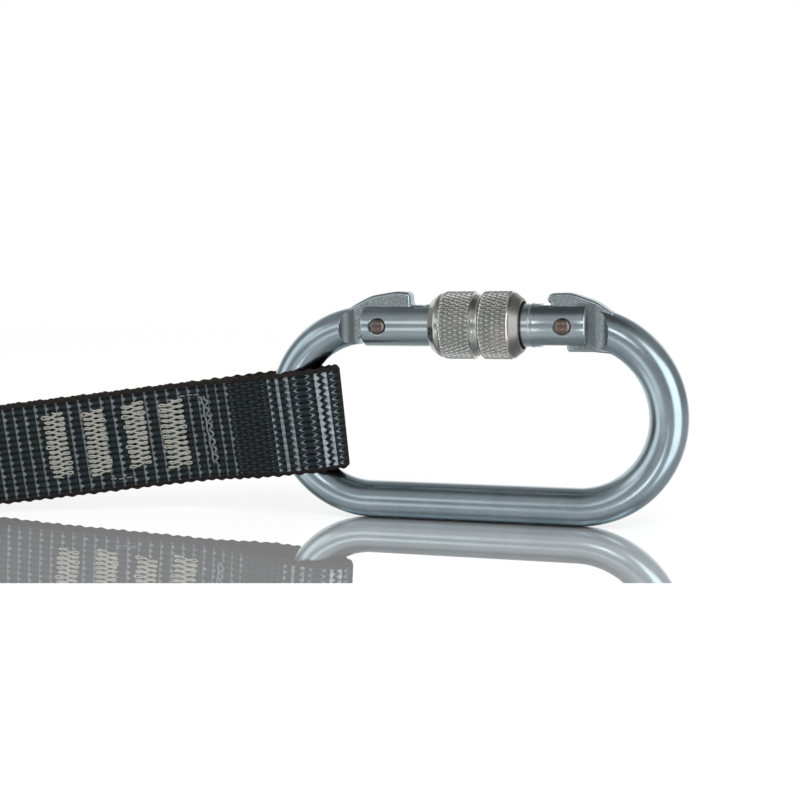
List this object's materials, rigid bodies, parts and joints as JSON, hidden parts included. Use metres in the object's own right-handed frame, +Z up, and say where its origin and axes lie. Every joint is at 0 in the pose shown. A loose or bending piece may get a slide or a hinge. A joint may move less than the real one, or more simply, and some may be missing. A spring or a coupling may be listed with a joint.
{
  "type": "twin shock-absorbing lanyard",
  "caption": "Twin fall-arrest lanyard: oval screw-gate karabiner, sewn strap, absorber pack, webbing legs folded and tied as a hank, scaffold hooks with sprung gates and lock levers.",
  "frame": {"origin": "centre of the bottom of the box round the lanyard without its free legs and their tie, on the surface it lies on", "axes": "+X from the hooks towards the karabiner, +Z up; the karabiner stands on its spine in a plane of constant Y"},
  "size_m": [0.6836, 0.3044, 0.06],
  "materials": {
    "zinc_plated_steel": "bright bluish zinc plate",
    "sleeve_steel": "knurled, warm silver",
    "rivet_steel": "darker plain steel",
    "spring_steel": "drawn wire",
    "hook_zinc": "zinc plated forging",
    "sheet_zinc": "zinc plated sheet",
    "dark_webbing": "woven polyester webbing, near-black green with grey ribs",
    "cover_fabric": "dark woven cover",
    "tear_webbing": "undyed webbing",
    "tie_band": "matt black band"
  },
  "bodies": {
    "lanyard": {"karabiner_body": "zinc_plated_steel", "attachment_strap": "dark_webbing", "absorber_cover": "cover_fabric", "tear_webbing": "tear_webbing", "hank_tie": "tie_band", "front_leg": "dark_webbing", "front_leg_loop": "dark_webbing", "back_leg": "dark_webbing", "back_leg_loop": "dark_webbing"},
    "gate": {"karabiner_gate": "zinc_plated_steel", "hinge_rivet": "rivet_steel", "latch_rivet": "rivet_steel", "spring_plunger": "spring_steel", "gate_spring": "spring_steel"},
    "sleeve": {"locking_sleeve": "sleeve_steel"},
    "front_hook": {"front_hook_body": "hook_zinc", "front_hook_gate_rivet": "rivet_steel", "front_hook_lever_rivet": "rivet_steel", "front_hook_gate_spring": "spring_steel", "front_hook_lever_spring": "spring_steel"},
    "front_hook_gate": {"front_hook_gate": "sheet_zinc"},
    "front_hook_lever": {"front_hook_lever": "sheet_zinc"},
    "back_hook": {"back_hook_body": "hook_zinc", "back_hook_gate_rivet": "rivet_steel", "back_hook_lever_rivet": "rivet_steel", "back_hook_gate_spring": "spring_steel", "back_hook_lever_spring": "spring_steel"},
    "back_hook_gate": {"back_hook_gate": "sheet_zinc"},
    "back_hook_lever": {"back_hook_lever": "sheet_zinc"}
  },
  "joints": [
    {"name": "karabiner_gate_hinge", "type": "hinge", "parent": "lanyard", "child": "gate", "pos_m": [0.31113, 0.015, 0.0513], "axis": [0, -1, 0], "range_deg": [0, 24], "stiffness_Nm_per_rad": 0.12, "springref_deg": -28.65},
    {"name": "sleeve_screw_travel", "type": "slide", "parent": "gate", "child": "sleeve", "axis": [1, 0, 0], "range_m": [-0.0054, 0.001]},
    {"name": "front_hook_swing", "type": "hinge", "parent": "lanyard", "child": "front_hook", "pos_m": [-0.11107, -0.0857, 0.00785], "axis": [0, 1, 0], "range_deg": [-75, 75]},
    {"name": "front_hook_gate_hinge", "type": "hinge", "parent": "front_hook", "child": "front_hook_gate", "pos_m": [-0.17582, -0.0987, 0.00785], "axis": [0, 0, -1], "range_deg": [0, 42], "stiffness_Nm_per_rad": 0.25, "springref_deg": -22.92},
    {"name": "front_hook_lever_hinge", "type": "hinge", "parent": "front_hook", "child": "front_hook_lever", "pos_m": [-0.22182, -0.0477, 0.00785], "axis": [0, 0, 1], "range_deg": [0, 5], "stiffness_Nm_per_rad": 0.25, "springref_deg": -17.19},
    {"name": "back_hook_swing", "type": "hinge", "parent": "lanyard", "child": "back_hook", "pos_m": [-0.11107, 0.0857, 0.00785], "axis": [0, 1, 0], "range_deg": [-75, 75]},
    {"name": "back_hook_gate_hinge", "type": "hinge", "parent": "back_hook", "child": "back_hook_gate", "pos_m": [-0.17582, 0.0987, 0.00785], "axis": [0, 0, 1], "range_deg": [0, 42], "stiffness_Nm_per_rad": 0.25, "springref_deg": -22.92},
    {"name": "back_hook_lever_hinge", "type": "hinge", "parent": "back_hook", "child": "back_hook_lever", "pos_m": [-0.22182, 0.0477, 0.00785], "axis": [0, 0, -1], "range_deg": [0, 5], "stiffness_Nm_per_rad": 0.25, "springref_deg": -17.19}
  ]
}
